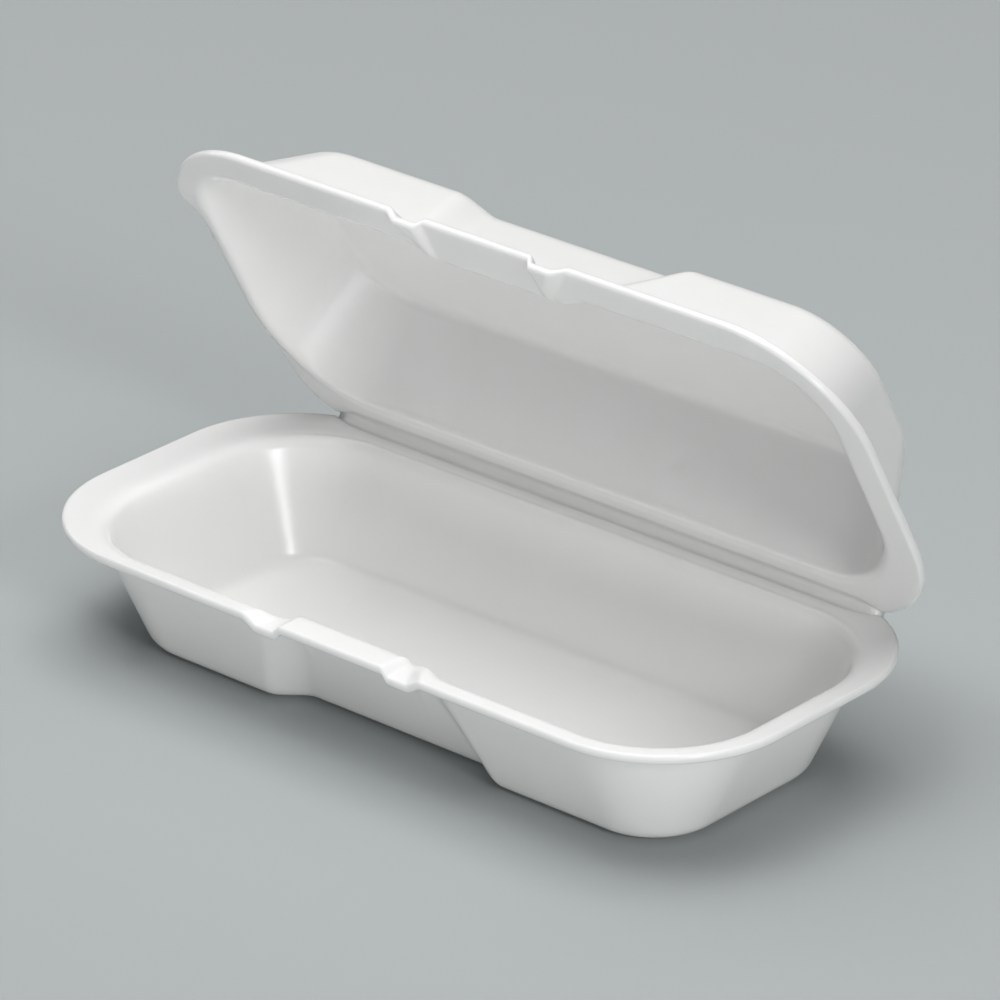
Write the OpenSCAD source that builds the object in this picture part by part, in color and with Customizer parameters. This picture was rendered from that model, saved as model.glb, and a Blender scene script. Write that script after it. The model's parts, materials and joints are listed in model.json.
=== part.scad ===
// Foam hot dog container: a clamshell formed from one sheet of foamed polystyrene.
// The tray and the lid are dished halves of that sheet, joined along a pressed crease.
// Frame: +X along the length, +Y towards the crease, +Z up, origin in the middle of the base.

/* [Sheet] */
// Length over the flange, end to end
length = 187; // [160:1:240]
// Depth from the front edge of the flange to the hinge crease
depth = 85.8; // [76:0.2:120]
// Thickness of the foam sheet
sheet = 2; // [1.4:0.1:2.6]
// How far the flange is trimmed to the left of the tray's middle
trim_shift = 3; // [-4:0.2:4]

/* [Tray] */
// Height of the tray's rim above the table
tray_h = 26.8; // [22:0.2:40]
// Width of the tray's flange at the ends
tray_flange_end = 7.5; // [5:0.5:10]
// Width of the tray's flange along the front
tray_flange_front = 3.5; // [3:0.2:8]
// Corner radius of the tray's flange at the front
tray_corner_front = 30; // [26:1:34]
// Corner radius of the tray's flange by the crease
tray_corner_back = 30; // [24:0.5:34]
// Corner radius of the tray's rim, inside the flange
tray_rim_corner = 26; // [20:1:28]
// Corner radius of the tray's base
tray_base_corner = 14; // [12:1:20]
// How far an end wall of the tray leans in from rim to base
tray_lean_end = 11.8; // [6:0.2:13]
// How far the front and back walls of the tray lean in from rim to base
tray_lean_side = 10.4; // [6:0.2:12]

/* [Lid] */
// Height of the lid above its own rim
lid_h = 24; // [18:0.2:36]
// Width of the lid's flange at the ends
lid_flange_end = 7; // [5:0.5:10]
// Width of the lid's flange along the front
lid_flange_front = 8; // [5:0.2:9]
// Corner radius of the lid's flange at the front
lid_corner_front = 28; // [22:0.5:34]
// Corner radius of the lid's flange by the crease
lid_corner_back = 30; // [24:0.5:34]
// Corner radius of the lid's rim at the front
lid_rim_corner_front = 16; // [12:1:28]
// Corner radius of the lid's rim by the crease
lid_rim_corner_back = 25; // [20:1:28]
// Corner radius of the lid's top
lid_top_corner = 17; // [12:1:20]
// How far an end wall of the lid leans in from rim to top
lid_lean_end = 9.8; // [6:0.2:13]
// How far the front and back walls of the lid lean in from rim to top
lid_lean_side = 12.4; // [6:0.2:14]
// How far the lid's flange is bent back at its left end
lid_curl = 3.4; // [0:0.1:4]
// Length of flat flange between the lid's front edge and the bent end
curl_start = 18; // [12:1:24]
// Length over which the bend of the lid's end comes and goes
curl_run = 16; // [10:1:20]

/* [Folds] */
// Width of the hinge strip between each rim and the crease
hinge_strip = 6.3; // [5:0.1:9]
// Distance from each end of the flange to where its back corners meet the crease
crease_inset = 17; // [14:0.5:20]
// Reach of the rounding where a flange turns down into a wall
lip_round = 1; // [0.8:0.1:2.8]
// Reach of the rounding where a wall turns into the base or the top
base_round = 3.6; // [2.5:0.1:8]
// Angle that the lid stands open at rest
open_angle = 61; // [0:1:180]
// Gap between the two flanges when the lid is shut
shut_gap = 0.3; // [0.2:0.05:0.6]

/* [Latch] */
// Place of the finger recess along the length, from the middle
latch_x = -0.8; // [-10:0.5:10]
// Half the length of the finger recess at the rim
recess_half_rim = 16; // [14:0.5:20]
// Half the length of the finger recess at the base or the top
recess_half_base = 24; // [18:0.5:28]
// Length over which the recess runs out into the wall
recess_run_out = 9; // [6:0.5:12]
// Depth of the finger recess at the rim
recess_rim = 3.2; // [1:0.2:4]
// Depth of the finger recess at the base or the top
recess_base = 5.2; // [3:0.2:7]
// Place of the closing tab along the length, from the middle
tab_x = -2.8; // [-10:0.2:10]
// Half the length of the closing tab between the two detents
tab_half = 14; // [12:0.2:18]
// Length of the step at each end of the tab
tab_step = 1.9; // [1.6:0.1:4]
// Distance from the tab's middle at which a detent has run out along the edge
detent_end = 25; // [22:0.5:32]
// Length of the slope at the outer end of a detent
detent_run = 4.2; // [2:0.1:6]
// Distance from the front edge at which a detent has narrowed to a point
detent_reach = 14; // [10:0.5:18]
// Depth of the detents beside the tab
detent = 1.9; // [0.6:0.1:2.2]

/* [Hidden] */

foam_white = [0.95, 0.95, 0.94];

// Steps round each corner, along each end, along the back, across the flange and on each rounded fold
corner_steps = 8;
end_steps = 3;
back_steps = 6;
flange_steps = 3;
fold_steps = 5;
// Spacing of the points along the latch, and how far they reach on each side of it
latch_pitch = 1.5;
latch_reach = 34;
// Width of flat between the finger recess and the plain oblong inside it
flat_margin = 2;

left_x = -length / 2 - trim_shift;
right_x = length / 2 - trim_shift;
// The base's middle is the frame's origin, and sets where the front edge and the crease lie.
base_depth = depth - tray_flange_front - hinge_strip - 2 * tray_lean_side;
crease_y = base_depth / 2 + tray_lean_side + hinge_strip;
front_y = crease_y - depth;
// The hinge axis lies on the crease, midway between the two shut flanges.
axis_z = tray_h + shut_gap / 2;
strip_edge_y = crease_y - shut_gap / 2;

// A station is one loop round the dish, given as [left x, right x, front y, back y, front corner radius,
// back corner radius, height, recess depth, recess half length, detent depth, curl, reach of the back
// corners along the back].
function edge_station(h, corner_front, corner_back, dip, curl) =
    [left_x, right_x, front_y, strip_edge_y, corner_front, corner_back, h,
     0, recess_half_rim, dip, curl, crease_inset];

function rim_station(shift, h, flange_end, flange_front, corner_front, corner_back, dip) =
    [left_x + shift + flange_end, right_x + shift - flange_end,
     front_y + flange_front, crease_y - hinge_strip, corner_front, corner_back, h,
     recess_rim, recess_half_rim, dip, 0, corner_back];

function base_station(rim, lean_end, lean_side, corner) =
    [rim[0] + lean_end, rim[1] - lean_end, rim[2] + lean_side, rim[3] - lean_side, corner, corner, 0,
     recess_base, recess_half_base, 0, 0, corner];

// Picks the recess depth out of a station
recess_column = [0, 0, 0, 0, 0, 0, 0, 1, 0, 0, 0, 0];

// The same loop moved in all round by a distance
function inset(s, by) = s + by * [1, -1, 1, -1, -0.5, -0.5, 0, 0, 0, 0, 0, -0.5];

// The loop that lies the given distance along the way from one station to another
function towards(a, b, reach) =
    let (span = norm([b[2] - a[2], b[6] - a[6]])) a + (b - a) * reach / span;

// A rounded fold: a parabola that leaves a, aims at corner and arrives at b
function fold(a, corner, b) =
    [for (i = [0 : fold_steps])
        let (t = i / fold_steps)
        a * pow(1 - t, 2) + corner * 2 * t * (1 - t) + b * pow(t, 2)];

// The stations of one dish, from its flange's edge in to the middle of its flat
function dish_stations(edge, rim, base) =
    let (
        lip_start = towards(rim, edge, lip_round),
        flat = inset(base, base_round),
        plain_flat = inset(flat, recess_base + flat_margin) - recess_base * recess_column
    )
    concat(
        [edge],
        run_points(edge, lip_start, flange_steps),
        fold(lip_start, rim, towards(rim, base, lip_round)),
        fold(towards(base, rim, base_round), base, flat),
        [plain_flat]
    );

function clamp01(t) = min(max(t, 0), 1);
function ease(t) = let (c = clamp01(t)) c * c * (3 - 2 * c);

// 1 inside the half length, easing to 0 over the run-out
function recess_window(x, half) = 1 - ease((abs(x - latch_x) - half) / recess_run_out);

// 0 on the tab and past the detent's outer slope, 1 between them on the edge. The detent narrows and
// fades away from the edge, to a point at its reach.
function detent_window(p) =
    let (
        s = abs(p[0] - tab_x),
        foot = tab_half + tab_step,
        left = clamp01(1 - (p[1] - front_y) / detent_reach),
        slope_start = foot + (detent_end - foot) * left - detent_run
    )
    left * ease((s - tab_half) / tab_step) * (1 - ease((s - slope_start) / detent_run));

// How much of the curl a point at the left end takes
function curl_window(p, s) =
    (1 - ease((p[0] - s[0]) / s[5]))
    * ease((p[1] - front_y - curl_start) / curl_run)
    * ease((crease_y - p[1]) / curl_run);

// Points of a corner about x, y, anticlockwise from one angle to another
function arc_points(x, y, radius, start, end, h) =
    [for (i = [0 : corner_steps])
        let (a = start + (end - start) * i / corner_steps)
        [x + radius * cos(a), y + radius * sin(a), h]];

// Angle through which a back corner turns, from the end to where it meets the back
function back_turn(s) = acos(1 - s[11] / s[5]);

// Points of the straight run between two others
function run_points(a, b, steps) = [for (i = [1 : steps - 1]) a + (b - a) * i / steps];

latch_xs = [for (u = [-latch_reach : latch_pitch : latch_reach]) latch_x + u];

// One loop of points, anticlockwise seen from above, starting on the front
function loop_points(s) =
    let (
        front = [for (x = latch_xs) [x, s[2] + s[7] * recess_window(x, s[8]), s[6]]],
        turn = back_turn(s),
        back_y = s[3] - s[5] * sin(turn),
        front_right = arc_points(s[1] - s[4], s[2] + s[4], s[4], -90, 0, s[6]),
        back_right = arc_points(s[1] - s[5], back_y, s[5], 0, turn, s[6]),
        back_left = arc_points(s[0] + s[5], back_y, s[5], 180 - turn, 180, s[6]),
        front_left = arc_points(s[0] + s[4], s[2] + s[4], s[4], 180, 270, s[6]),
        flat_loop = concat(
            front,
            front_right,
            run_points(front_right[corner_steps], back_right[0], end_steps),
            back_right,
            run_points(back_right[corner_steps], back_left[0], back_steps),
            back_left,
            run_points(back_left[corner_steps], front_left[0], end_steps),
            front_left
        )
    )
    [for (p = flat_loop) p - [0, 0, s[10] * curl_window(p, s)]];

// The loops with the detents pressed straight down into their front, the same on both skins
function pressed(loops, plain, stations) =
    [for (k = [0 : len(loops) - 1])
        [for (j = [0 : len(loops[k]) - 1])
            let (dip = j < len(latch_xs) ? stations[k][9] * detent_window(plain[k][j]) : 0)
            loops[k][j] - [0, 0, dip]]];

function unit(v) = v / norm(v);

// The loops moved square to the surface by the sheet's thickness
function thickened(loops) =
    let (m = len(loops), n = len(loops[0]))
    [for (k = [0 : m - 1])
        [for (j = [0 : n - 1])
            let (
                round = loops[k][(j + 1) % n] - loops[k][(j + n - 1) % n],
                down = loops[min(k + 1, m - 1)][j] - loops[max(k - 1, 0)][j]
            )
            loops[k][j] + sheet * unit(cross(round, down))]];

// A dished half of the sheet, standing on its flat with its flange uppermost
module dish(stations) {
    plain = [for (s = stations) loop_points(s)];
    under = pressed(plain, plain, stations);
    upper = pressed(thickened(plain), plain, stations);
    m = len(under);
    n = len(under[0]);
    flat = stations[m - 1];
    middle = [(flat[0] + flat[1]) / 2, (flat[2] + flat[3]) / 2, flat[6]];
    points = concat(
        [for (skin = [under, upper]) for (loop = skin) for (p = loop) p],
        [middle, middle + [0, 0, sheet]]
    );
    at = function (skin, k, j) (skin * m + k) * n + j % n;
    middle_at = function (skin) 2 * m * n + skin;
    skins = [for (k = [0 : m - 2]) for (j = [0 : n - 1])
        each [
            [at(0, k, j), at(0, k, j + 1), at(0, k + 1, j + 1)],
            [at(0, k, j), at(0, k + 1, j + 1), at(0, k + 1, j)],
            [at(1, k, j), at(1, k + 1, j + 1), at(1, k, j + 1)],
            [at(1, k, j), at(1, k + 1, j), at(1, k + 1, j + 1)]
        ]];
    edge = [for (j = [0 : n - 1])
        each [
            [at(0, 0, j), at(1, 0, j), at(1, 0, j + 1)],
            [at(0, 0, j), at(1, 0, j + 1), at(0, 0, j + 1)]
        ]];
    flats = [for (j = [0 : n - 1])
        each [
            [at(0, m - 1, j), at(0, m - 1, j + 1), middle_at(0)],
            [at(1, m - 1, j + 1), at(1, m - 1, j), middle_at(1)]
        ]];
    polyhedron(points, concat(skins, edge, flats));
}

module tray() {
    under_h = tray_h - sheet;
    edge = edge_station(under_h, tray_corner_front, tray_corner_back, detent, 0);
    rim = rim_station(trim_shift, under_h, tray_flange_end, tray_flange_front,
                      tray_rim_corner, tray_rim_corner, detent);
    base = base_station(rim, tray_lean_end, tray_lean_side, tray_base_corner);
    color(foam_white) dish(dish_stations(edge, rim, base));
}

// The lid is the same kind of dish turned over, its detents standing out to fill the tray's.
module lid() {
    under_h = lid_h - sheet;
    edge = edge_station(under_h, lid_corner_front, lid_corner_back, -detent, lid_curl);
    rim = rim_station(0, under_h, lid_flange_end, lid_flange_front,
                      lid_rim_corner_front, lid_rim_corner_back, -detent);
    base = base_station(rim, lid_lean_end, lid_lean_side, lid_top_corner);
    color(foam_white)
        translate([0, crease_y, axis_z])
        rotate([-open_angle, 0, 0])
        translate([0, -crease_y, shut_gap / 2 + lid_h])
        mirror([0, 0, 1])
        dish(dish_stations(edge, rim, base));
}

tray();
lid();
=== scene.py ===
"""Looks of a hinged foam hot dog container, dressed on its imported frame.

The container is one sheet of foamed polystyrene. Its tray and lid are dished from that sheet and meet at a
pressed crease along the back. Every size is in metres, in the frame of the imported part: +X along the
length, +Y towards the crease, +Z up, with the origin in the middle of the tray's base.
"""

from __future__ import annotations

import json
import logging
import math
from dataclasses import dataclass
from enum import Enum, IntEnum
from typing import Any

import bpy
import numpy as np
from mathutils import Matrix, Vector

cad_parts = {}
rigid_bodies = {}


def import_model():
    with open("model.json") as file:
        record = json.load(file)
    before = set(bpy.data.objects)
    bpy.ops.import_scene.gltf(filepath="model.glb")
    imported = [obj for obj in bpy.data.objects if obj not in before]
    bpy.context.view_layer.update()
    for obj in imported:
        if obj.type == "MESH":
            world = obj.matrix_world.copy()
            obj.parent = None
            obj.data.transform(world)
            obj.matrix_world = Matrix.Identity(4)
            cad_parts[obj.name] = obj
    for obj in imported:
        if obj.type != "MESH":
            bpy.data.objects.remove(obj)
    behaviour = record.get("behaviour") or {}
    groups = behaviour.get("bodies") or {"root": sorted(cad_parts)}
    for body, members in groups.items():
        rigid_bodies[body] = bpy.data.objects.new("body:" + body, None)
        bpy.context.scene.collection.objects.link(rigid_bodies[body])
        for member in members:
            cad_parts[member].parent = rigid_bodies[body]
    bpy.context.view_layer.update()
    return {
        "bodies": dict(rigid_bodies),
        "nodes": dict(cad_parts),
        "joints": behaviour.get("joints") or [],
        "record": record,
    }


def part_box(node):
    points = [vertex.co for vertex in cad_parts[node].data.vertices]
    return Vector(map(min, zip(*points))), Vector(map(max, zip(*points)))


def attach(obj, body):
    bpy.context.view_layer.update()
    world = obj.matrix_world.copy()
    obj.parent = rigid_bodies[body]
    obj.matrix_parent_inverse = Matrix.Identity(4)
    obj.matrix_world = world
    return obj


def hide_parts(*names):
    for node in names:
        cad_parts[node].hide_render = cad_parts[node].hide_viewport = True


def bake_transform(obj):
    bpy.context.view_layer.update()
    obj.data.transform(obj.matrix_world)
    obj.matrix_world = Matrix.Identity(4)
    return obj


LOG = logging.getLogger("container")
QUARTER_TURN = math.pi / 2.0
NOISE_MIDDLE = 0.5

Array = np.ndarray
Point = tuple[float, float, float]
Colour = tuple[float, float, float]

WHITE: Colour = (1.0, 1.0, 1.0)


class Half(Enum):
    """The two dished halves of the sheet, by their node and body names."""

    TRAY = "tray"
    LID = "lid"


class MixSocket(IntEnum):
    """Sockets of a Mix node that mixes colours: three inputs, then the output."""

    FACTOR = 0
    FIRST = 6
    SECOND = 7
    RESULT = 2


class Col(IntEnum):
    """Columns of a station, which is one loop round a dish from its flange in to its flat."""

    LEFT = 0
    RIGHT = 1
    FRONT = 2
    BACK = 3
    CORNER_FRONT = 4
    CORNER_BACK = 5
    HEIGHT = 6
    RECESS = 7
    RECESS_HALF = 8
    DETENT = 9
    CURL = 10
    BACK_REACH = 11


# Change of each column of a station for each unit of length that its loop is drawn in.
DRAW_IN = np.array([1.0, -1.0, 1.0, -1.0, -0.5, -0.5, 0.0, 0.0, 0.0, 0.0, 0.0, -0.5])


def ease(t: Array) -> Array:
    """Smooth step from 0 to 1: the clamped t put through 3t^2 - 2t^3."""
    c = np.clip(t, 0.0, 1.0)
    return c * c * (3.0 - 2.0 * c)


def unit(v: Array) -> Array:
    """The vectors along the last axis, each divided by its length."""
    return v / np.linalg.norm(v, axis=-1, keepdims=True)


def bearing(azimuth: float, elevation: float) -> Vector:
    """Direction outwards from the part, as a vector of length 1.

    Args:
        azimuth: Degrees from the front towards the right.
        elevation: Degrees above the level.

    Returns:
        The direction.
    """
    a, e = math.radians(azimuth), math.radians(elevation)
    return Vector((math.sin(a) * math.cos(e), -math.cos(a) * math.cos(e), math.sin(e)))


def add_object(name: str, data: bpy.types.ID) -> bpy.types.Object:
    """Puts an object into the scene.

    Args:
        name: Name of the new object.
        data: Its mesh, camera or light.

    Returns:
        The new object, at the origin.
    """
    made = bpy.data.objects.new(name, data)
    bpy.context.scene.collection.objects.link(made)
    return made


def add_mesh(name: str, points: Array, quads: Array, triangles: Array | None = None) -> bpy.types.Object:
    """Puts a smooth closed mesh into the scene with its faces turned outwards.

    Args:
        name: Name of the new object and mesh.
        points: Vertex positions, one row each.
        quads: Vertex numbers of the four-sided faces, one row each.
        triangles: Vertex numbers of the three-sided faces, one row each.

    Returns:
        The new object, at the origin.
    """
    tris = np.zeros((0, 3), int) if triangles is None else triangles
    halves = np.vstack([quads[:, [0, 1, 2]], quads[:, [0, 2, 3]], tris])
    a, b, c = (points[halves[:, k]] for k in range(3))
    if np.einsum("ij,ij->", a, np.cross(b, c)) < 0.0:
        quads, tris = quads[:, ::-1], tris[:, ::-1]
    mesh = bpy.data.meshes.new(name)
    mesh.from_pydata(points.tolist(), [], quads.tolist() + tris.tolist())
    mesh.polygons.foreach_set("use_smooth", np.ones(len(mesh.polygons), bool))
    mesh.update()
    return add_object(name, mesh)


def ring_quads(at: Array) -> Array:
    """Faces of a tube: each ring is joined to the next, and its last place to its first.

    Args:
        at: Vertex numbers in order of ring and place round it.

    Returns:
        Vertex numbers of the faces, one row each.
    """
    after = np.roll(at, -1, axis=1)
    return np.stack([at[:-1], after[:-1], after[1:], at[1:]], -1).reshape(-1, 4)


class Signal:
    """A shader socket's value, on which arithmetic adds Math nodes."""

    def __init__(self, graph: ShaderGraph, socket: bpy.types.NodeSocket) -> None:
        """Wraps an output socket of the graph."""
        self.graph = graph
        self.socket = socket

    def _math(self, operation: str, first: Signal | float, second: Signal | float) -> Signal:
        """Adds one Math node on two values."""
        return self.graph.node("ShaderNodeMath", {"operation": operation}, {0: first, 1: second})

    def __add__(self, other: Signal | float) -> Signal:
        """This value plus another."""
        return self._math("ADD", self, other)

    def __radd__(self, other: float) -> Signal:
        """A number plus this value."""
        return self._math("ADD", other, self)

    def __sub__(self, other: Signal | float) -> Signal:
        """This value less another."""
        return self._math("SUBTRACT", self, other)

    def __rsub__(self, other: float) -> Signal:
        """A number less this value."""
        return self._math("SUBTRACT", other, self)

    def __mul__(self, other: Signal | float) -> Signal:
        """This value times another."""
        return self._math("MULTIPLY", self, other)

    def __rmul__(self, other: float) -> Signal:
        """A number times this value."""
        return self._math("MULTIPLY", other, self)


class ShaderGraph:
    """The node tree of one material, with one method that makes every node."""

    def __init__(self, name: str) -> None:
        """Starts an empty material.

        Args:
            name: Name of the new material.
        """
        self.material = bpy.data.materials.new(name)
        self.material.use_nodes = True
        self.tree = self.material.node_tree
        self.tree.nodes.clear()

    def make(self, kind: str, settings: dict[str, Any], inputs: dict[str | int, Any]) -> bpy.types.Node:
        """Adds a node.

        Args:
            kind: Blender's name for the node's type.
            settings: Properties of the node, set before its sockets.
            inputs: Values or signals of its sockets, by name or number.

        Returns:
            The node.
        """
        made = self.tree.nodes.new(kind)
        for key, value in settings.items():
            setattr(made, key, value)
        for key, value in inputs.items():
            if isinstance(value, Signal):
                self.tree.links.new(value.socket, made.inputs[key])
            else:
                made.inputs[key].default_value = value
        return made

    def node(self, kind: str, settings: dict[str, Any], inputs: dict[str | int, Any],
             output: str | int = 0) -> Signal:
        """Adds a node and wraps one of its outputs, given by name or number."""
        return Signal(self, self.make(kind, settings, inputs).outputs[output])

    def close(self, shader: Signal) -> bpy.types.Material:
        """Joins a shader to the material's surface and returns the material."""
        self.make("ShaderNodeOutputMaterial", {}, {"Surface": shader})
        return self.material


@dataclass(frozen=True)
class FoamFinish:
    """White foam skin: a soft gloss over fine cells and faint clouds, with light that seeps through.

    Attributes:
        light: White of the brightest clouds.
        dull: White of the darkest clouds.
        roughness: Roughness at the clouds' middle.
        roughness_swing: Change of roughness over the clouds' whole range.
        cell_pitch: Size of the cells.
        cell_detail: Octaves of the cells' noise.
        cloud_pitch: Size of the clouds.
        cloud_detail: Octaves of the clouds' noise.
        bump_height: Height of the cells.
        bump_strength: Share of that height that shades the skin.
        seep: Share of the light that enters the foam.
        seep_depth: How far that light travels in it.
    """

    light: Colour = (0.905, 0.905, 0.897)
    dull: Colour = (0.875, 0.876, 0.866)
    roughness: float = 0.245
    roughness_swing: float = 0.05
    cell_pitch: float = 0.0011
    cell_detail: float = 1.0
    cloud_pitch: float = 0.016
    cloud_detail: float = 3.0
    bump_height: float = 0.00006
    bump_strength: float = 0.2
    seep: float = 1.0
    seep_depth: float = 0.0016

    def material(self, name: str) -> bpy.types.Material:
        """Builds the finish: clouds mix the two whites and swing the roughness, and cells feed a bump.

        Args:
            name: Name of the new material.

        Returns:
            The material.
        """
        graph = ShaderGraph(name)
        place = graph.node("ShaderNodeTexCoord", {}, {}, "Object")

        def noise(pitch: float, detail: float) -> Signal:
            """Noise of that pitch over the piece, from 0 to 1."""
            sockets = {"Vector": place, "Scale": 1.0 / pitch, "Detail": detail}
            return graph.node("ShaderNodeTexNoise", {}, sockets, "Fac")

        cells = noise(self.cell_pitch, self.cell_detail)
        cloud = noise(self.cloud_pitch, self.cloud_detail)
        colour = graph.node("ShaderNodeMix", {"data_type": "RGBA"},
                            {MixSocket.FACTOR: cloud, MixSocket.FIRST: (*self.dull, 1.0),
                             MixSocket.SECOND: (*self.light, 1.0)}, MixSocket.RESULT)
        rough = self.roughness + (cloud - NOISE_MIDDLE) * self.roughness_swing
        normal = graph.node("ShaderNodeBump", {},
                            {"Strength": self.bump_strength, "Distance": self.bump_height, "Height": cells})
        shader = graph.node("ShaderNodeBsdfPrincipled", {},
                            {"Base Color": colour, "Roughness": rough, "Normal": normal,
                             "Subsurface Weight": self.seep, "Subsurface Radius": WHITE,
                             "Subsurface Scale": self.seep_depth})
        return graph.close(shader)


@dataclass(frozen=True)
class FloorFinish:
    """Plain matt grey of the studio floor."""

    colour: Colour = (0.414, 0.44, 0.443)
    roughness: float = 0.85

    def material(self, name: str) -> bpy.types.Material:
        """Builds the finish.

        Args:
            name: Name of the new material.

        Returns:
            The material.
        """
        graph = ShaderGraph(name)
        shader = graph.node("ShaderNodeBsdfPrincipled", {},
                            {"Base Color": (*self.colour, 1.0), "Roughness": self.roughness})
        return graph.close(shader)


@dataclass(frozen=True)
class Sheet:
    """The foam sheet that both halves are formed from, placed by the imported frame.

    Attributes:
        left: X of the flange's left edge.
        right: X of the flange's right edge.
        front: Y of the flange's front edge.
        crease: Y of the hinge axis.
        rim_z: Height of the tray's flange.
        axis_z: Height of the hinge axis.
        open_angle: How far the lid is open at rest, in radians.
        thickness: Thickness of the sheet.
        edge_round: How far the rounded cut edge stands out from the outermost loop.
        hinge_strip: Width from the crease to the corner between flange and back wall.
        crease_inset: Distance from either end of the flange to the end of the crease.
        lip_round: Reach of the fold between flange and wall, either way from its corner.
        base_round: Reach of the fold between wall and flat, either way from its corner.
        press: Depth by which the hinge strip is pressed thin.
        press_flat: Width beside the crease that is pressed to the full depth.
        press_end: Width at which the press has eased out.
        press_taper: Length over which the press eases out at the ends of the crease.
        bead: Height of the roll along the top of the back wall.
        bead_half: Half the width of the roll.
        bead_drop: How far the roll lies below the middle of the lip.
        bead_taper: Distance forwards over which the roll fades out.
    """

    left: float
    right: float
    front: float
    crease: float
    rim_z: float
    axis_z: float
    open_angle: float
    thickness: float = 0.002
    edge_round: float = 0.0006
    hinge_strip: float = 0.0063
    crease_inset: float = 0.017
    lip_round: float = 0.001
    base_round: float = 0.0036
    press: float = 0.0003
    press_flat: float = 0.0012
    press_end: float = 0.0037
    press_taper: float = 0.008
    bead: float = 0.0005
    bead_half: float = 0.0008
    bead_drop: float = 0.0003
    bead_taper: float = 0.012

    @classmethod
    def from_frame(cls, frame: dict[str, Any]) -> Sheet:
        """Reads the flange's outline from the tray's box and the crease from the hinge.


        Returns:
            The sheet.
        """
        low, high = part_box(Half.TRAY.value)
        hinge = frame["joints"][0]
        _, crease, axis_z = hinge["pos_m"]
        return cls(low.x, high.x, low.y, crease, high.z, axis_z, math.radians(-hinge["range_deg"][0]))

    @property
    def half_gap(self) -> float:
        """Half the gap between the two shut flanges."""
        return self.axis_z - self.rim_z

    @property
    def middle(self) -> float:
        """Middle of the flange along the length."""
        return (self.left + self.right) / 2.0

    @property
    def crease_half(self) -> float:
        """Half the length of the crease."""
        return (self.right - self.left) / 2.0 - self.crease_inset

    def strip_press(self, x: Array, y: Array) -> Array:
        """Works out how deep the hinge strip is pressed: in full by the crease, easing out at lip and ends.

        Args:
            x: Places along the length.
            y: Places across, in the tray's frame.

        Returns:
            The depth at each place.
        """
        off = self.crease - y
        across = 1.0 - ease((off - self.press_flat) / (self.press_end - self.press_flat))
        along = ease((self.crease_half - np.abs(x - self.middle)) / self.press_taper)
        return self.press * across * along

    def lip_bead(self, down: Array, y: Array) -> Array:
        """Works out the roll along the back wall's top: a bell across it, fading out round the corners.

        Args:
            down: Distance down the wall from the middle of the lip.
            y: Places across, in the tray's frame.

        Returns:
            The height of the roll at each place.
        """
        bell = np.exp(-((down - self.bead_drop) / self.bead_half) ** 2)
        return self.bead * bell * ease((y - self.crease + self.hinge_strip) / self.bead_taper + 1.0)


@dataclass(frozen=True)
class Latch:
    """Finger recess in the front wall, and the closing tab between two detents on the front flange.

    Attributes:
        front: Y of the flange's front edge.
        x: Middle of the recess.
        reach: Half the length of the finely sampled stretch.
        recess_half_rim: Half the length of the recess at the rim.
        recess_half_base: Half the length of the recess at the base.
        recess_run_out: Length over which the recess eases out at either end.
        recess_rim: Depth of the recess at the rim.
        recess_base: Depth of the recess at the base.
        tab_x: Middle of the tab.
        tab_half: Half the length of the tab.
        tab_step: Run of the step from the tab down to a detent.
        detent_end: Distance from the tab's middle to a detent's outer end, on the edge.
        detent_run: Run of a detent's outer slope.
        detent_reach: How far a detent reaches in from the edge.
        detent: Depth of a detent at the edge.
    """

    front: float
    x: float = -0.0008
    reach: float = 0.034
    recess_half_rim: float = 0.016
    recess_half_base: float = 0.024
    recess_run_out: float = 0.009
    recess_rim: float = 0.0032
    recess_base: float = 0.0052
    tab_x: float = -0.0028
    tab_half: float = 0.014
    tab_step: float = 0.0019
    detent_end: float = 0.025
    detent_run: float = 0.0042
    detent_reach: float = 0.014
    detent: float = 0.0019

    def recess_window(self, x: Array, half: Array) -> Array:
        """1 inside the half length, easing to 0 over the run-out."""
        return 1.0 - ease((np.abs(x - self.x) - half) / self.recess_run_out)

    def detent_window(self, x: Array, y: Array) -> Array:
        """Works out the share of a detent's depth: on the edge, 1 from the tab's step to the outer slope.

        The detent narrows and fades away from the edge, to a point at its reach.

        Args:
            x: Places along the length.
            y: Places across.

        Returns:
            The share at each place.
        """
        off = np.abs(x - self.tab_x)
        foot = self.tab_half + self.tab_step
        left = np.clip(1.0 - (y - self.front) / self.detent_reach, 0.0, 1.0)
        slope = foot + (self.detent_end - foot) * left - self.detent_run
        rise = ease((off - self.tab_half) / self.tab_step)
        return left * rise * (1.0 - ease((off - slope) / self.detent_run))


@dataclass(frozen=True)
class Dimple:
    """Small round dent in the inside of a dish, at a place in its own standing frame."""

    place: Point
    radius: float
    depth: float

    def dent(self, points: Array) -> Array:
        """Depth of the dent at each point: full in the middle, easing to 0 at the radius."""
        off = np.linalg.norm(points - np.array(self.place), axis=-1)
        return self.depth * (1.0 - ease(off / self.radius))


@dataclass(frozen=True)
class LoopSteps:
    """How finely a dish is sampled, round each loop and from the flange in to the middle.

    Attributes:
        latch: Points along the latch's stretch of the front.
        run: Steps from that stretch to either front corner.
        corner: Steps round a corner.
        end: Steps along an end.
        back: Steps along the back.
        flange: Steps across the flange.
        fold: Steps over a fold.
        wall: Steps down the wall.
        floor: Steps from the base's fold to the plain oblong within the flat.
        flat: Steps from that oblong to the middle.
        edge: Rows of the rounded cut edge.
    """

    latch: int = 150
    run: int = 10
    corner: int = 30
    end: int = 12
    back: int = 60
    flange: int = 14
    fold: int = 10
    wall: int = 12
    floor: int = 8
    flat: int = 16
    edge: int = 7


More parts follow.
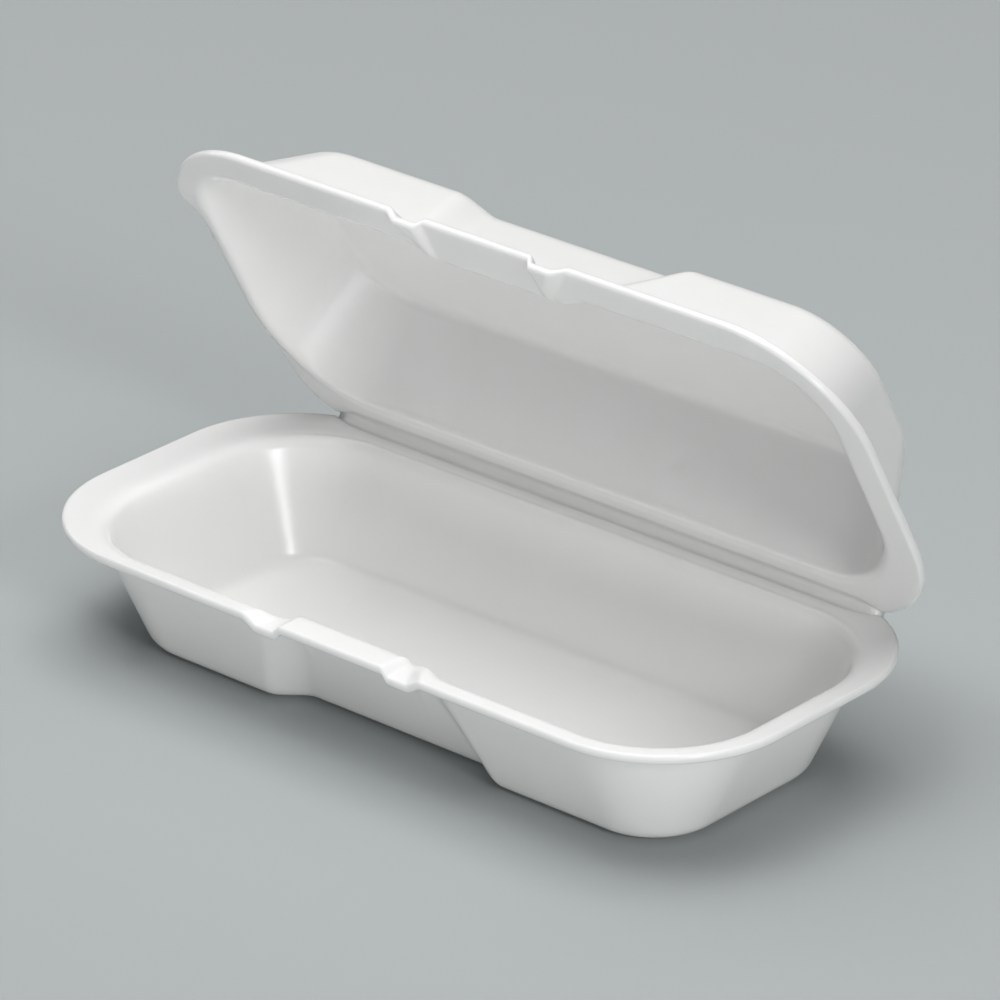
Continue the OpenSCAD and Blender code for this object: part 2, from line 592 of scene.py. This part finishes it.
@dataclass(frozen=True)
class Dish:
    """A dished half of the sheet, worked out standing on its flat with its flange uppermost.

    Attributes:
        half: Which half it is.
        sheet: The sheet that it is formed from.
        latch: Its recess, tab and detents.
        finish: Its foam.
        height: Height of the flange's upper face above the flat's under face.
        flange_end: Width of the flange at either end.
        flange_front: Width of the flange at the front.
        corner_front: Radius of the flange's front corners.
        corner_back: Radius of the flange's back corners.
        rim_corner_front: Radius of the rim's front corners.
        rim_corner_back: Radius of the rim's back corners.
        base_corner: Radius of the base's corners.
        lean_end: How far the end walls lean in from rim to base.
        lean_side: How far the front and back walls lean in from rim to base.
        body_shift: How far the dish lies off the middle of the flange along the length.
        detent_sign: 1 where the detents are pressed in and -1 where they stand out.
        curl: How far the flange's left end is bent towards the flat.
        curl_start: Distance from the front edge at which that bend sets in.
        curl_run: Distance over which the bend eases in and out.
        flat_margin: Clearance of the plain oblong within the flat from the recess.
        dimple: A dent in the inside, if there is one.
        steps: How finely it is sampled.
    """

    half: Half
    sheet: Sheet
    latch: Latch
    finish: FoamFinish
    height: float
    flange_end: float
    flange_front: float
    corner_front: float
    corner_back: float
    rim_corner_front: float
    rim_corner_back: float
    base_corner: float
    lean_end: float
    lean_side: float
    body_shift: float = 0.0
    detent_sign: float = 1.0
    curl: float = 0.0
    curl_start: float = 0.018
    curl_run: float = 0.016
    flat_margin: float = 0.002
    dimple: Dimple | None = None
    steps: LoopSteps = LoopSteps()

    def stations(self) -> Array:
        """Works out the loops' sizes from the flange's edge in to the flat.

        A fold is a parabola that leaves the flange or wall, aims at the corner and arrives on the next run.

        Returns:
            One row for each station, with the columns of Col.
        """
        sheet, latch = self.sheet, self.latch
        under = self.height - sheet.thickness
        dip = self.detent_sign * latch.detent
        edge = np.array([sheet.left, sheet.right, sheet.front, sheet.crease - sheet.half_gap,
                         self.corner_front, self.corner_back, under,
                         0.0, latch.recess_half_rim, dip, self.curl, sheet.crease_inset])
        edge = edge + sheet.edge_round * DRAW_IN
        rim = np.array([sheet.left + self.body_shift + self.flange_end,
                        sheet.right + self.body_shift - self.flange_end,
                        sheet.front + self.flange_front, sheet.crease - sheet.hinge_strip,
                        self.rim_corner_front, self.rim_corner_back, under,
                        latch.recess_rim, latch.recess_half_rim, dip, 0.0, self.rim_corner_back])
        base = np.array([rim[Col.LEFT] + self.lean_end, rim[Col.RIGHT] - self.lean_end,
                         rim[Col.FRONT] + self.lean_side, rim[Col.BACK] - self.lean_side,
                         self.base_corner, self.base_corner, 0.0,
                         latch.recess_base, latch.recess_half_base, 0.0, 0.0, self.base_corner])
        flat = base + sheet.base_round * DRAW_IN
        plain_flat = flat + (latch.recess_base + self.flat_margin) * DRAW_IN
        plain_flat[Col.RECESS] = 0.0

        def towards(a: Array, b: Array, reach: float) -> Array:
            """The station that lies a distance along the way from a to b."""
            way = b - a
            return a + way * reach / math.hypot(way[Col.FRONT], way[Col.HEIGHT])

        def fold(a: Array, corner: Array, b: Array) -> Array:
            """The stations of a rounded fold."""
            t = np.linspace(0.0, 1.0, self.steps.fold + 1)[:, None]
            return a * (1.0 - t) ** 2 + corner * 2.0 * t * (1.0 - t) + b * t ** 2

        def run(a: Array, b: Array, steps: int) -> Array:
            """The stations between two others, without them."""
            t = np.arange(1, steps)[:, None] / steps
            return a + (b - a) * t

        lip = fold(towards(rim, edge, sheet.lip_round), rim, towards(rim, base, sheet.lip_round))
        turn = fold(towards(base, rim, sheet.base_round), base, flat)
        return np.vstack([edge, run(edge, lip[0], self.steps.flange), lip,
                          run(lip[-1], turn[0], self.steps.wall), turn,
                          run(turn[-1], plain_flat, self.steps.floor), plain_flat])

    def loops(self, s: Array) -> Array:
        """Works out the under skin, one rounded oblong of points for each station.

        Args:
            s: The stations.

        Returns:
            Points in order of station, place round the loop and axis.
        """
        n = self.steps
        latch_x = self.latch.x + np.linspace(-self.latch.reach, self.latch.reach, n.latch)
        window = self.latch.recess_window(latch_x[None, :], s[:, Col.RECESS_HALF, None])
        front_y = s[:, Col.FRONT, None] + s[:, Col.RECESS, None] * window
        front = np.stack([np.broadcast_to(latch_x, front_y.shape), front_y], -1)

        def arc(x: Array, y: Array, radius: Array, start: Array | float, end: Array | float) -> Array:
            """Works out one corner of every loop, anticlockwise.

            Args:
                x: Places of the corner's middle along the length.
                y: Places of the corner's middle across.
                radius: Radii of the corner.
                start: Angle at which it starts.
                end: Angle at which it ends.

            Returns:
                Points in order of station, place round the corner and axis.
            """
            t = np.linspace(0.0, 1.0, n.corner + 1)
            a = np.multiply.outer(np.broadcast_to(start, x.shape), 1.0 - t)
            a = a + np.multiply.outer(np.broadcast_to(end, x.shape), t)
            r = radius[:, None]
            return np.stack([x[:, None] + r * np.cos(a), y[:, None] + r * np.sin(a)], -1)

        def run(a: Array, b: Array, steps: int) -> Array:
            """Points of the straight run between two others, without them."""
            t = np.arange(1, steps)[None, :, None] / steps
            return a[:, -1:] + (b[:, :1] - a[:, -1:]) * t

        left, right, front_line, back_line = (s[:, c] for c in (Col.LEFT, Col.RIGHT, Col.FRONT, Col.BACK))
        near, far = s[:, Col.CORNER_FRONT], s[:, Col.CORNER_BACK]
        turn = np.arccos(1.0 - s[:, Col.BACK_REACH] / far)
        far_y = back_line - far * np.sin(turn)
        front_right = arc(right - near, front_line + near, near, -QUARTER_TURN, 0.0)
        back_right = arc(right - far, far_y, far, 0.0, turn)
        back_left = arc(left + far, far_y, far, math.pi - turn, math.pi)
        front_left = arc(left + near, front_line + near, near, math.pi, 3.0 * QUARTER_TURN)
        plan = np.concatenate([
            front, run(front, front_right, n.run),
            front_right, run(front_right, back_right, n.end),
            back_right, run(back_right, back_left, n.back),
            back_left, run(back_left, front_left, n.end),
            front_left, run(front_left, front, n.run)], axis=1)
        x, y = plan[..., 0], plan[..., 1]
        bend = ((1.0 - ease((x - s[:, Col.LEFT, None]) / s[:, Col.CORNER_BACK, None]))
                * ease((y - self.sheet.front - self.curl_start) / self.curl_run)
                * ease((self.sheet.crease - y) / self.curl_run))
        z = s[:, Col.HEIGHT, None] - s[:, Col.CURL, None] * bend
        return np.stack([x, y, z], -1)

    def skins(self) -> tuple[Array, Array]:
        """Works out both skins: the loops, drawn in to the middle, and the same moved square by the sheet.

        The upper skin also has the roll along its lip, the dimple and the pressed hinge strip.

        Returns:
            The under skin and the upper skin, each in order of row, place round the loop and axis.
        """
        s = self.stations()
        loops = self.loops(s)
        middle = np.array([(s[-1, Col.LEFT] + s[-1, Col.RIGHT]) / 2.0,
                           (s[-1, Col.FRONT] + s[-1, Col.BACK]) / 2.0, s[-1, Col.HEIGHT]])
        shrink = 1.0 - np.arange(1, self.steps.flat)[:, None, None] / self.steps.flat
        plain = np.concatenate([loops, middle + (loops[-1] - middle) * shrink])
        round_way = np.roll(plain, -1, axis=1) - np.roll(plain, 1, axis=1)
        down_way = np.gradient(plain, axis=0)
        square = unit(np.cross(round_way, down_way))
        upper = plain + self.sheet.thickness * square
        way = np.cumsum(np.linalg.norm(np.diff(upper, axis=0, prepend=upper[:1]), axis=-1), axis=0)
        lip = self.steps.flange + self.steps.fold // 2
        upper += self.sheet.lip_bead(way - way[lip], plain[..., 1])[..., None] * square
        if self.dimple is not None:
            upper -= self.dimple.dent(upper)[..., None] * square
        dips = np.zeros(plain.shape[:2])
        front = loops[:, :self.steps.latch]
        dips[:len(s), :self.steps.latch] = s[:, Col.DETENT, None] * self.latch.detent_window(
            front[..., 0], front[..., 1])
        under = plain.copy()
        under[..., 2] -= dips
        upper[..., 2] -= dips + self.sheet.strip_press(upper[..., 0], upper[..., 1])
        return under, upper

    def place(self, points: Array) -> Array:
        """Moves points from the dish's standing frame to the part's frame at rest.

        The tray stands as it is. The lid is turned over onto the tray and swung open about the crease.

        Args:
            points: Points in the standing frame, with the axes last.

        Returns:
            The points in the part's frame.
        """
        if self.half is Half.TRAY:
            return points
        sheet = self.sheet
        d = sheet.crease - points[..., 1]
        h = sheet.half_gap + self.height - points[..., 2]
        c, s = math.cos(sheet.open_angle), math.sin(sheet.open_angle)
        return np.stack([points[..., 0], sheet.crease - d * c + h * s, sheet.axis_z + d * s + h * c], -1)

    def build(self) -> bpy.types.Object:
        """Builds the half as one closed shell, with a rounded cut edge, and dresses it.

        Returns:
            The piece, riding on its body in place of its node.
        """
        under, upper = self.skins()
        out = unit(under[0] - under[1]) * self.sheet.edge_round
        turn = np.linspace(-QUARTER_TURN, QUARTER_TURN, self.steps.edge + 2)[1:-1, None, None]
        edge = (under[0] + upper[0]) / 2.0 + (upper[0] - under[0]) / 2.0 * np.sin(turn) + out * np.cos(turn)
        rows = np.concatenate([under[::-1], edge, upper])
        count, n = rows.shape[:2]
        poles = np.stack([rows[0].mean(0), rows[-1].mean(0)])
        points = self.place(np.concatenate([rows.reshape(-1, 3), poles]))
        at = np.arange(count * n).reshape(count, n)
        after = np.roll(at, -1, axis=1)
        first = np.stack([after[0], at[0], np.full(n, count * n)], -1)
        last = np.stack([at[-1], after[-1], np.full(n, count * n + 1)], -1)
        piece = add_mesh(f"{self.half.value}_shell", points, ring_quads(at), np.vstack([first, last]))
        piece.data.materials.append(self.finish.material(f"{self.half.value}_foam"))
        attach(piece, self.half.value)
        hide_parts(self.half.value)
        return piece


@dataclass(frozen=True)
class HingeWeb:
    """Thin pressed foam that carries the sheet round the crease from the tray's strip to the lid's.

    Attributes:
        sheet: The sheet that it belongs to.
        finish: Its foam.
        end_gap: How far either end stops short of the end of the crease.
        skin: How far its outer side lies within the sheet and its inner side stands out of the strips.
        fillet: Radius of its inner side.
        tail: Length of its straight tails.
        steps_along: Sections along the crease.
        steps_round: Points round either side of the section, without the tails.
        steps_tail: Points of a tail.
    """

    sheet: Sheet
    finish: FoamFinish
    end_gap: float = 0.0018
    skin: float = 0.00012
    fillet: float = 0.0013
    tail: float = 0.0012
    steps_along: int = 60
    steps_round: int = 18
    steps_tail: int = 3

    def profile(self) -> Array:
        """Works out the closed section: an outer arc about the axis and an inner fillet between the strips.

        Both turn from straight down, where the tray's strip is, to the lid's outward direction, and each
        has a straight tail into either strip. The fillet's middle lies on the bisector of the strips, as
        far in as makes it touch both.

        Returns:
            Points as offsets from the axis, along Y and Z, in order round the section.
        """
        sheet = self.sheet
        inner = sheet.half_gap + sheet.press - self.skin
        outer = sheet.half_gap + sheet.thickness - self.skin
        half_angle = sheet.open_angle / 2.0
        bisector = np.array([-math.cos(half_angle), math.sin(half_angle)])
        fillet_at = bisector * (self.fillet - inner) / math.sin(half_angle)
        a = np.linspace(-QUARTER_TURN, QUARTER_TURN - sheet.open_angle, self.steps_round)
        ray = np.stack([np.cos(a), np.sin(a)], -1)
        along = np.stack([-np.sin(a), np.cos(a)], -1)
        tail = self.tail * np.arange(self.steps_tail, 0, -1)[:, None] / self.steps_tail

        def line(radius: float) -> Array:
            """One side of the section, tail to tail."""
            return np.vstack([ray[0] * radius - along[0] * tail, ray * radius,
                              ray[-1] * radius + along[-1] * tail[::-1]])

        return np.vstack([line(outer), fillet_at + line(self.fillet)[::-1]])

    def build(self) -> bpy.types.Object:
        """Carries the section, bent at the rest angle between the strips, along the crease and closes its
        ends.

        Returns:
            The piece.
        """
        sheet = self.sheet
        section = self.profile()
        n = len(section)
        half = sheet.crease_half - self.end_gap
        x = sheet.middle + np.linspace(-half, half, self.steps_along)
        rows = np.empty((self.steps_along, n, 3))
        rows[..., 0] = x[:, None]
        rows[..., 1] = sheet.crease + section[None, :, 0]
        rows[..., 2] = sheet.axis_z + section[None, :, 1]
        at = np.arange(self.steps_along * n).reshape(self.steps_along, n)
        side = np.arange(n // 2 - 1)
        caps = [np.stack([ring[side], ring[n - 1 - side], ring[n - 2 - side], ring[side + 1]], -1)
                for ring in (at[0], at[-1][::-1])]
        piece = add_mesh("hinge_web", rows.reshape(-1, 3), np.vstack([ring_quads(at), *caps]))
        piece.data.materials.append(self.finish.material("web_foam"))
        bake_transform(piece)
        return piece


@dataclass(frozen=True)
class PhotoCamera:
    """Camera of the photograph: a long lens that looks down from the front right, with a level horizon.

    Attributes:
        place: Where it stands.
        azimuth: Degrees from the front towards the right.
        elevation: Degrees by which it looks down.
        focal_pixels: Focal length, in pixels of the photograph.
        frame_pixels: Width of the photograph, in pixels.
        sensor: Width of the sensor, in millimetres.
    """

    place: Point = (0.88382, -0.999, 0.66831)
    azimuth: float = 41.27
    elevation: float = 25.01
    focal_pixels: float = 7151.0
    frame_pixels: float = 1000.0
    sensor: float = 36.0

    def build(self) -> bpy.types.Object:
        """Adds the camera, turned by its azimuth and elevation, and makes it the scene's.

        Returns:
            The camera object.
        """
        a = math.radians(self.azimuth)
        right = Vector((math.cos(a), math.sin(a), 0.0))
        back = bearing(self.azimuth, self.elevation)
        turn = Matrix((right, back.cross(right), back)).transposed()
        lens = bpy.data.cameras.new("photo_camera")
        lens.sensor_width = self.sensor
        lens.lens = self.focal_pixels / self.frame_pixels * self.sensor
        camera = add_object("photo_camera", lens)
        camera.matrix_world = Matrix.Translation(self.place) @ turn.to_4x4()
        bpy.context.scene.camera = camera
        return camera


@dataclass(frozen=True)
class SoftBox:
    """A rectangular studio lamp that faces a point.

    Attributes:
        name: Name of the lamp.
        azimuth: Degrees from the front towards the right.
        elevation: Degrees above the level.
        width: Width of the lamp.
        height: Height of the lamp.
        watts: Its power.
        distance: How far it stands from the point.
        aim: The point.
    """

    name: str
    azimuth: float
    elevation: float
    width: float
    height: float
    watts: float
    distance: float = 1.5
    aim: Point = (0.0, 0.0, 0.04)

    def build(self) -> bpy.types.Object:
        """Adds the lamp.

        Returns:
            The lamp's object.
        """
        way = bearing(self.azimuth, self.elevation)
        lamp = bpy.data.lights.new(self.name, "AREA")
        lamp.shape = "RECTANGLE"
        lamp.size = self.width
        lamp.size_y = self.height
        lamp.energy = self.watts
        box = add_object(self.name, lamp)
        place = Vector(self.aim) + way * self.distance
        box.matrix_world = Matrix.Translation(place) @ way.to_track_quat("Z", "Y").to_matrix().to_4x4()
        return box


@dataclass(frozen=True)
class Studio:
    """Floor, lamps and even light from all round.

    Attributes:
        finish: The floor's finish.
        floor_half: Half the side of the square floor.
        ambient: Strength of the even light.
        lamps: The lamps, each by name, azimuth, elevation, width, height and watts.
    """

    finish: FloorFinish = FloorFinish()
    floor_half: float = 4.0
    ambient: float = 0.02
    lamps: tuple[SoftBox, ...] = (
        SoftBox("top_box", 234.0, 82.5, 1.7, 1.7, 19.5),
        SoftBox("crown_box", 315.0, 72.0, 0.7, 0.7, 4.2),
        SoftBox("back_box", 211.0, 63.0, 0.9, 0.7, 3.0),
        SoftBox("left_box", 270.0, 25.0, 0.5, 0.5, 1.1),
        SoftBox("low_box", 36.0, 4.0, 1.9, 0.16, 5.2),
        SoftBox("fill_box", 50.0, 12.0, 1.2, 0.3, 1.5),
        SoftBox("strip_box", 68.0, 27.0, 0.26, 0.4, 5.8),
    )

    def build(self) -> None:
        """Adds the floor, the lamps and the world's light."""
        r = self.floor_half
        mesh = bpy.data.meshes.new("floor")
        mesh.from_pydata([(-r, -r, 0.0), (r, -r, 0.0), (r, r, 0.0), (-r, r, 0.0)], [], [(0, 1, 2, 3)])
        mesh.materials.append(self.finish.material("floor_grey"))
        floor = add_object("floor", mesh)
        for lamp in self.lamps:
            lamp.build()
        world = bpy.data.worlds.new("studio")
        world.use_nodes = True
        sky = world.node_tree.nodes["Background"]
        sky.inputs["Color"].default_value = (*WHITE, 1.0)
        sky.inputs["Strength"].default_value = self.ambient
        bpy.context.scene.world = world


def make_tray(sheet: Sheet, latch: Latch, finish: FoamFinish) -> Dish:
    """Gives the tray its sizes: its body stands over the origin, off the middle of the trimmed flange.

    Args:
        sheet: The sheet that it is formed from.
        latch: Its recess, tab and detents.
        finish: Its foam.

    Returns:
        The tray.
    """
    return Dish(Half.TRAY, sheet, latch, finish, height=sheet.rim_z, flange_end=0.0075, flange_front=0.0035,
                corner_front=0.03, corner_back=0.03, rim_corner_front=0.026, rim_corner_back=0.026,
                base_corner=0.014, lean_end=0.0118, lean_side=0.0104, body_shift=-sheet.middle)


def make_lid(sheet: Sheet, latch: Latch, finish: FoamFinish) -> Dish:
    """Gives the lid its sizes: its detents stand out to fill the tray's, and its left end is bent back.

    Args:
        sheet: The sheet that it is formed from.
        latch: Its recess, tab and detents.
        finish: Its foam.

    Returns:
        The lid.
    """
    dimple = Dimple(place=(0.015, 0.0313, 0.0142), radius=0.0026, depth=0.0008)
    return Dish(Half.LID, sheet, latch, finish, height=0.024, flange_end=0.007, flange_front=0.008,
                corner_front=0.028, corner_back=0.03, rim_corner_front=0.016, rim_corner_back=0.025,
                base_corner=0.017, lean_end=0.0098, lean_side=0.0124, detent_sign=-1.0, curl=0.0034,
                dimple=dimple)


def main() -> None:
    """Builds the container on its frame, then the camera and the studio."""
    logging.basicConfig(level=logging.INFO, format="%(name)s: %(message)s")
    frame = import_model()
    bpy.context.scene.view_settings.view_transform = "Standard"
    sheet = Sheet.from_frame(frame)
    latch = Latch(sheet.front)
    finish = FoamFinish()
    parts = (make_tray(sheet, latch, finish), make_lid(sheet, latch, finish), HingeWeb(sheet, finish))
    for part in parts:
        piece = part.build()
        LOG.info("%s has %d faces", piece.name, len(piece.data.polygons))
    PhotoCamera().build()
    Studio().build()


if __name__ == "__main__":
    main()
